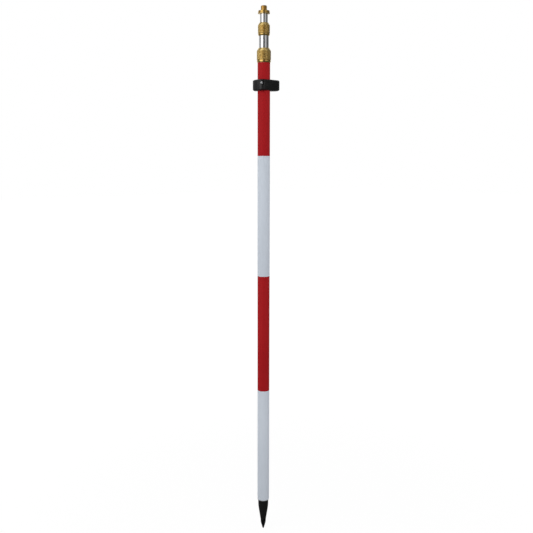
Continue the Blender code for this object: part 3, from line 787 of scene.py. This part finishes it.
def add_nut(prefix, sliding, finishes):
    """The knurled nut: chamfered barrel and a plain conical crown."""
    node = f"{prefix}_lock_nut"
    low, high = box(node)
    radius = radius_of(node)
    hole = radius_of(sliding) + SLIDE_GAP
    lip = hole + 0.9
    barrel_top = high.z - (radius - lip) * CROWN_SLOPE - 0.2
    knurl_bottom = low.z + NUT_FOOT
    knurl_top = barrel_top - NUT_SHOULDER
    thread = (radius + radius_of(sliding)) / 2 + 0.8
    columns = 2 * KNURL_COUNT
    bm = bmesh.new()
    deep = set()
    lowest, highest = knurl(bm, radius, knurl_bottom, knurl_top, deep)
    lower = softened([
        (radius - KNURL_DEPTH, knurl_bottom),
        (radius - 0.6, low.z + 0.5),
        (radius - 1.1, low.z, 0.3),
        (thread, low.z, 0.2),
        (thread, low.z + NUT_CAVITY),
    ], 0.3, 3)
    upper = softened([
        (radius - KNURL_DEPTH, knurl_top),
        (radius - 0.35, barrel_top, 0.4),
        (lip, high.z - 0.1, 0.7),
        (hole, high.z, 0.4),
        (hole, high.z - CROWN_WALL),
        (thread, low.z + NUT_CAVITY),
    ], 0.3, 4)
    below = [lowest] + [ring(bm, reach, height, columns) for reach, height in lower[1:]]
    above = [highest] + [ring(bm, reach, height, columns) for reach, height in upper[1:-1]]
    above.append(below[-1])
    for rings in (below, above):
        for first, second in zip(rings, rings[1:]):
            bridge(bm, first, second)
    bm.verts.index_update()
    depths = [1.0 if vert in deep else 0.0 for vert in bm.verts]
    nut = add_object(f"{node}_knurled", bm, sharp=KNURL_SHARP_ANGLE)
    mark_grooves(nut, depths)
    piece(nut, f"{prefix}_nut", finishes["nut brass"], "lock_brass", [node])


def add_lock_body(prefix, fixed, sliding, body, finishes):
    """The fixed half: spigot, bevelled ring and threaded neck."""
    node = f"{prefix}_lock_body"
    low, high = box(node)
    ring_radius = radius_of(node)
    ring_top = box(f"{prefix}_lock_nut")[0].z - 0.3
    hole = radius_of(sliding) + SLIDE_GAP
    thread = (radius_of(f"{prefix}_lock_nut") + radius_of(sliding)) / 2 + 0.5
    around = "red_band_upper" if prefix == "lower" else fixed
    foot = box(fixed)[1].z + 0.2
    spigot = radius_of("foot_plug" if prefix == "lower" else "middle_floor_plug") - 0.02
    ring_bottom = box(around)[1].z + 0.25 if prefix == "lower" else foot - 1.9
    counterbore = radius_of(fixed) + 0.15
    outline = [
        (hole, low.z),
        (spigot, low.z),
        (spigot, foot),
        (counterbore, foot),
        (counterbore, ring_bottom),
        (radius_of(around) + 0.25, ring_bottom, 0.3),
        (ring_radius - 0.05, ring_bottom + 2.6, 0.8),
        (ring_radius - 0.05, ring_top, 0.4),
        (thread - LOCK_THREAD_DEPTH, ring_top),
    ]
    neck = thread_outline(thread, LOCK_THREAD_DEPTH, LOCK_PITCH, ring_top + 0.2, high.z, 0.8,
                          chamfer_foot=False)
    cone_bottom = high.z - CONE_DEPTH
    cone = [(thread - 0.9, high.z), (hole + 0.85, cone_bottom), (hole, cone_bottom)]
    rows = softened(outline, 0.2, 3) + list(neck) + cone
    made = add_object(f"{node}_turned", lathe(rows))
    piece(made, body, finishes["head brass"], "lock_brass", [node])


def add_locks(finishes):
    """The twist lock on the outer tube and the one on the middle tube."""
    locks = (
        ("lower", "outer_tube", "middle_tube", "lower_section"),
        ("upper", "middle_tube", "inner_tube", "middle_section"),
    )
    for prefix, fixed, sliding, body in locks:
        add_lock_body(prefix, fixed, sliding, body, finishes)
        add_nut(prefix, sliding, finishes)


# ---- head --------------------------------------------------------------------

def add_head(finishes):
    """Shank, double-rimmed flange and the threaded stud."""
    low, high = box("head_adapter")
    rim = radius_of("head_adapter")
    bottom = box("inner_tube")[1].z + 0.3
    seat_height = frame["record"]["mounts"][0]["pos_m"][2] / MM
    root = STUD_RADIUS - STUD_THREAD_DEPTH
    groove = (bottom + seat_height) / 2
    outline = [
        (0, low.z),
        (4.9, low.z, 0.6),
        (4.9, bottom),
        (rim - 0.05, bottom, 0.3),
        (rim, bottom + 0.6, 0.3),
        (rim, groove - 1.0, 0.4),
        (rim - 2.0, groove, 0.4),
        (rim - 0.65, groove + 1.0, 0.4),
        (rim - 0.65, seat_height, 0.6),
        (8.4, seat_height, 0.15),
        (8.4, seat_height - STUD_RELIEF, 0.1),
        (root, seat_height - STUD_RELIEF, 0.1),
        (root, seat_height + 0.6),
    ]
    thread = thread_outline(STUD_RADIUS, STUD_THREAD_DEPTH, STUD_PITCH, seat_height + 0.7,
                            high.z, 1.3)
    centre_drilling = [(2.2, high.z), (0.9, high.z - 0.8), (0, high.z - 0.8)]
    rows = softened(outline, 0.25, 4) + list(thread) + centre_drilling
    head = add_object("head_adapter_turned", lathe(rows))
    piece(head, "inner_section", finishes["head brass"], "head_brass", ["head_adapter"])


# ---- level bracket -----------------------------------------------------------

def bracket_outline(cup_x, cup_radius, back, half_width, shrink, cup_shrink):
    """Points round the bracket, a rounded block that tapers to the cup."""
    corner_x = back + BRACKET_CORNER
    corner_y = half_width - BRACKET_CORNER
    arcs = (
        (corner_x, -corner_y, BRACKET_CORNER - shrink, 180, 270),
        (cup_x, 0, cup_radius - cup_shrink, -80, 80),
        (corner_x, corner_y, BRACKET_CORNER - shrink, 90, 180),
    )
    for centre_x, centre_y, radius, first, last in arcs:
        steps = round((last - first) / ARC_STEP)
        for step in range(steps + 1):
            angle = radians(first + (last - first) * step / steps)
            yield centre_x + radius * cos(angle), centre_y + radius * sin(angle)


def bracket_body(low, high, cup_x):
    """The block with its upper and lower edges eased over."""
    cup_radius = high.x - cup_x
    eased = []
    for step in range(EDGE_STEPS + 1):
        angle = pi / 2 * step / EDGE_STEPS
        eased.append((EDGE_RISE * (1 - cos(angle) ** EDGE_POWER), 1 - sin(angle) ** EDGE_POWER))
    levels = [(low.z + rise, CUP_LIFT, share * EDGE_WIDTH, share * EDGE_WIDTH)
              for rise, share in eased]
    levels += [(high.z - rise, 0, share * EDGE_WIDTH, share * CUP_EDGE_WIDTH)
               for rise, share in reversed(eased)]
    bm = bmesh.new()
    rings = []
    for height, lift, shrink, cup_shrink in levels:
        points = bracket_outline(cup_x, cup_radius, low.x, high.y, shrink, cup_shrink)
        rings.append([bm.verts.new((x, y, height + lift * (x - low.x) / (high.x - low.x)))
                      for x, y in points])
    for first, second in zip(rings, rings[1:]):
        bridge(bm, first, second)
    bm.faces.new(rings[0])
    bm.faces.new(rings[-1])
    return bm


def flared(radius, bottom, top, flare, sides=SIDES):
    """A cutter for a hole whose mouths are eased by that much at both ends."""
    turn_in = flare * 0.3
    outline = [
        (0, bottom - OVERSHOOT),
        (radius + flare + OVERSHOOT, bottom - OVERSHOOT),
        (radius + flare, bottom),
        (radius + turn_in, bottom + turn_in),
        (radius, bottom + flare),
        (radius, top - flare),
        (radius + turn_in, top - turn_in),
        (radius + flare, top),
        (radius + flare + OVERSHOOT, top + OVERSHOOT),
        (0, top + OVERSHOOT),
    ]
    return lathe(outline, sides)


def clamp_centre():
    """Where the clamp screw's axis crosses the plane that halves the bracket."""
    middle = middle_of("clamp_screw")
    return Vector((middle.x, 0, middle.z))


def clamp_cutters(side):
    """The slit's screw hole, the head's recess and the nut's pocket."""
    washer_low, washer_high = box("clamp_washer")
    nut_low, nut_high = box("clamp_nut")
    recess = (washer_high.x - washer_low.x) / 2 + HEAD_RECESS_GAP
    recess_floor = -washer_high.y + 0.2
    head_recess = [
        (0, recess_floor),
        (recess, recess_floor),
        (recess, side - 2.6),
        (recess + 0.4, side - 1.4),
        (recess + 1.2, side + OVERSHOOT),
        (0, side + OVERSHOOT),
    ]
    nut_pocket = rod((nut_high.z - nut_low.z) / 2 + NUT_POCKET_GAP, nut_low.y - 0.2,
                     side + OVERSHOOT, HEXAGON)
    hole = rod(CLAMP_HOLE, -side - OVERSHOOT, side + OVERSHOOT, FINE_SIDES)
    centre = clamp_centre()
    return [
        moved(hole, centre, TO_BACK),
        moved(lathe(head_recess, FINE_SIDES), centre, TO_FRONT),
        moved(nut_pocket, centre, TO_BACK),
    ]


def vial_cutters(bottom, top):
    """The pocket for the circular level, and the holes for its screws."""
    pocket = radius_of("vial_case") + VIAL_POCKET_GAP
    floor = box("vial_cushion")[0].z - 0.2
    outline = [
        (0, floor),
        (pocket, floor),
        (pocket, top - 0.7),
        (pocket + 0.2, top - 0.2),
        (pocket + 0.7, top),
        (pocket + 1.7, top + OVERSHOOT),
        (0, top + OVERSHOOT),
    ]
    holes = []
    for number in VIAL_SCREWS:
        place = middle_of(f"vial_screw_{number}")
        hole = flared(VIAL_HOLE, bottom, floor + 2, 0.4, HOLE_SIDES)
        holes.append(moved(hole, (place.x, place.y, 0)))
    return moved(lathe(outline), (middle_of("vial_case").x, 0, 0)), holes


def add_bracket(finishes):
    """The moulded bracket: pole clamp, arm and cup in one piece."""
    low, high = box("vial_bracket")
    bore = radius_of("red_band_upper") + POLE_GAP
    slit = block((low.x - OVERSHOOT, -SLIT_HALF_WIDTH, low.z - OVERSHOOT),
                 (-bore + OVERSHOOT, SLIT_HALF_WIDTH, high.z + OVERSHOOT))
    pocket, screw_holes = vial_cutters(low.z, high.z)
    cutters = [flared(bore, low.z, high.z, 0.8), slit, pocket, *clamp_cutters(high.y), *screw_holes]
    block_body = bracket_body(low, high, middle_of("vial_case").x)
    body = carved("vial_bracket_moulded", block_body, cutters)
    piece(body, "level_bracket", finishes["bracket"], "bracket_plastic", ["vial_bracket"])


def add_clamp_screw(finishes):
    """A screw with a flat-topped head, its rim rounded, and a hex socket."""
    low, high = box("clamp_screw")
    head = (high.x - low.x) / 2
    shank = 1.5
    head_bottom = -box("clamp_washer")[0].y + 0.25
    head_top = -low.y
    rim_width = 0.9
    rim_height = head_top - head_bottom - 0.6
    rim = []
    for step in range(9):
        angle = pi / 2 * step / 9
        rim.append((head - rim_width * (1 - cos(angle)), head_top - rim_height * (1 - sin(angle))))
    outline = [
        (0, -high.y),
        (shank - 0.4, -high.y),
        (shank, -high.y + 0.6),
        (shank, head_bottom),
        (head - 0.15, head_bottom),
        (head, head_bottom + 0.3),
        *rim,
        (0, head_top),
    ]
    socket = rod(1.15, head_top - 1.3, head_top + OVERSHOOT, HEXAGON)
    made = carved("clamp_screw_turned", lathe(outline, FINE_SIDES), [socket])
    made.data.transform(Matrix.Translation(clamp_centre() * MM) @ TO_FRONT.to_4x4())
    piece(made, "clamp_screw", finishes["screw"], "screw_steel", ["clamp_screw"])


def add_clamp_washer(finishes):
    """The washer under the screw's head."""
    low, high = box("clamp_washer")
    outline = tube_outline(CLAMP_THREAD_HOLE, (high.x - low.x) / 2, -high.y, -low.y)
    shape = lathe(softened(outline, 0.15, 2, closed=True), FINE_SIDES)
    washer = add_object("clamp_washer_pressed", moved(shape, clamp_centre(), TO_FRONT))
    piece(washer, "clamp_washer", finishes["screw"], "screw_steel", ["clamp_washer"])


def add_clamp_nut(finishes):
    """A hexagon nut, chamfered on both faces."""
    low, high = box("clamp_nut")
    flat = (high.z - low.z) / 2 * cos(pi / 6)
    steps = 10

    def chamfered(height):
        """The hexagon, cut back to a cone near either face."""
        near = min(height - low.y, high.y - height)
        limit = flat + near * 1.8

        def reach(angle):
            turn = (angle + pi / 6) % (pi / 3) - pi / 6
            return min(flat / cos(turn), limit)
        return reach

    heights = [low.y + (high.y - low.y) * step / steps for step in range(steps + 1)]
    rows = [(CLAMP_THREAD_HOLE, low.y)]
    rows += [(chamfered(height), height) for height in heights]
    rows += [(CLAMP_THREAD_HOLE, high.y)]
    turn = TO_BACK @ Matrix.Rotation(pi / 6, 3, "Z")
    nut = add_object("clamp_nut_hex", moved(lathe(rows, 12 * HEXAGON), clamp_centre(), turn))
    piece(nut, "level_bracket", finishes["screw"], "screw_steel", ["clamp_nut"])


# ---- circular level ----------------------------------------------------------

def dome_points(radius, rim, crown, steps=12):
    """Points along a shallow dome, from its rim in towards the axis."""
    for step in range(steps):
        share = 1 - step / steps
        yield radius * share, crown - (crown - rim) * share ** 2


def add_vial_part(name, outline, finish, slot, nodes=(), sides=SIDES):
    """A piece turned about the vial's axis, fixed to the bracket."""
    shape = moved(lathe(outline, sides), (middle_of("vial_case").x, 0, 0))
    piece(add_object(name, shape), "level_bracket", finish, slot, nodes)


def add_vial_case(finishes):
    """The flanged cup, with a groove round its mouth and a hole for each screw."""
    low, high = box("vial_case")
    centre = middle_of("vial_case").x
    flange = radius_of("vial_case")
    body = flange - 3.5
    flange_bottom = high.z - 2.0
    groove_bottom = high.z - 0.35
    bore = radius_of("vial_glass") + 0.1
    floor = box("vial_fluid")[0].z - 0.1
    outline = [
        (0, low.z),
        (body, low.z, 0.5),
        (body, flange_bottom, 0.2),
        (flange, flange_bottom, 0.3),
        (flange, high.z, 0.6),
        (bore + 1.2, high.z, 0.1),
        (bore + 1.0, groove_bottom, 0.1),
        (bore + 0.5, groove_bottom, 0.1),
        (bore + 0.3, high.z, 0.15),
        (bore, high.z, 0.2),
        (bore, floor),
        (0, floor),
    ]
    holes = []
    for number in VIAL_SCREWS:
        place = middle_of(f"vial_screw_{number}")
        hole = rod(1.0, high.z - 4, high.z + OVERSHOOT, HOLE_SIDES)
        holes.append(moved(hole, (place.x - centre, place.y, 0)))
    made = carved("vial_case_turned", lathe(softened(outline, 0.2, 3)), holes)
    made.data.transform(Matrix.Translation((centre * MM, 0, 0)))
    piece(made, "level_bracket", finishes["case"], "case_metal", ["vial_case"])


def add_level(finishes):
    """Screws, case, lens, fluid, bubble and centring ring."""
    for number in VIAL_SCREWS:
        add_vial_screw(number, finishes)
    add_vial_case(finishes)

    low, high = box("vial_glass")
    radius = radius_of("vial_glass")
    top = list(dome_points(radius - 0.5, high.z - 1.5, high.z))
    underside = list(dome_points(radius - 1.2, low.z, high.z - 2.4))
    lens = [(0, underside[-1][1]), *reversed(underside), (radius, low.z), (radius, high.z - 1.9),
            *top, (0, top[-1][1])]
    add_vial_part("vial_lens", lens, finishes["glass"], "vial_glass", ["vial_glass"])

    bottom, surface = box("vial_fluid")[0].z, box("vial_fluid")[1].z
    reach = radius_of("vial_fluid")
    dome = list(dome_points(reach, surface - 2.0, surface))
    fluid = [(0, bottom), (reach, bottom), *dome, (0, dome[-1][1])]
    add_vial_part("vial_spirit", fluid, finishes["fluid"], "vial_fluid", ["vial_fluid"])

    bubble = [
        (0, surface - 0.9),
        (2.2, surface - 0.9, 0.5),
        (2.55, surface - 0.35, 0.4),
        (2.2, surface - 0.08, 0.5),
        (0, surface + 0.06),
    ]
    add_vial_part("vial_bubble", softened(bubble, 0.3, 5), finishes["bubble"], "vial_fluid",
                  sides=FINE_SIDES)

    mark = softened(tube_outline(3.35, 3.65, high.z - 0.62, high.z - 0.42), 0.05, 2, closed=True)
    add_vial_part("vial_centring_ring", mark, finishes["mark"], "case_metal", sides=FINE_SIDES)


def add_vial_screw(number, finishes):
    """A slotted cheese-head adjusting screw."""
    node = f"vial_screw_{number}"
    low, high = box(node)
    head = (high.x - low.x) / 2
    shank = 0.8
    head_bottom = high.z - 1.3
    outline = [
        (0, low.z),
        (shank - 0.3, low.z),
        (shank, low.z + 0.5),
        (shank, head_bottom),
        (head, head_bottom, 0.1),
        (head, high.z, 0.4),
        (0, high.z),
    ]
    slot = block((-0.28, -3, high.z - 0.65), (0.28, 3, high.z + OVERSHOOT))
    turn = Matrix.Rotation(radians(25 * number), 3, "Z")
    made = carved(f"{node}_turned", lathe(softened(outline, 0.05, 3), SCREW_SIDES),
                  [moved(slot, turn=turn)])
    place = middle_of(node)
    made.data.transform(Matrix.Translation(Vector((place.x, place.y, 0)) * MM))
    piece(made, node, finishes["screw"], "screw_steel", [node])


# ---- pieces that the CAD model already has right -----------------------------

def finish_hidden_nodes(finishes):
    """The plugs, shoes, collets and pads inside keep their CAD shapes."""
    hidden = {
        "tube": ("foot_plug", "head_plug"),
        "nylon": ("middle_guide_bush", "inner_guide_bush", "middle_floor_plug", "lower_lock_collet",
                  "upper_lock_collet"),
        "rubber": ("landing_pad", "vial_cushion"),
    }
    for finish, nodes in hidden.items():
        for node in nodes:
            frame["nodes"][node].material_slots[0].material = finishes[finish]


def build_scene():
    """The studio first, then every piece of the pole."""
    bpy.context.scene.view_settings.view_transform = "Standard"
    add_camera()
    add_world()
    add_floor()
    add_lights()
    finishes = make_finishes()
    add_tubes(finishes)
    add_sleeves(finishes)
    add_point(finishes)
    add_locks(finishes)
    add_head(finishes)
    add_bracket(finishes)
    add_clamp_screw(finishes)
    add_clamp_washer(finishes)
    add_clamp_nut(finishes)
    add_level(finishes)
    finish_hidden_nodes(finishes)


build_scene()
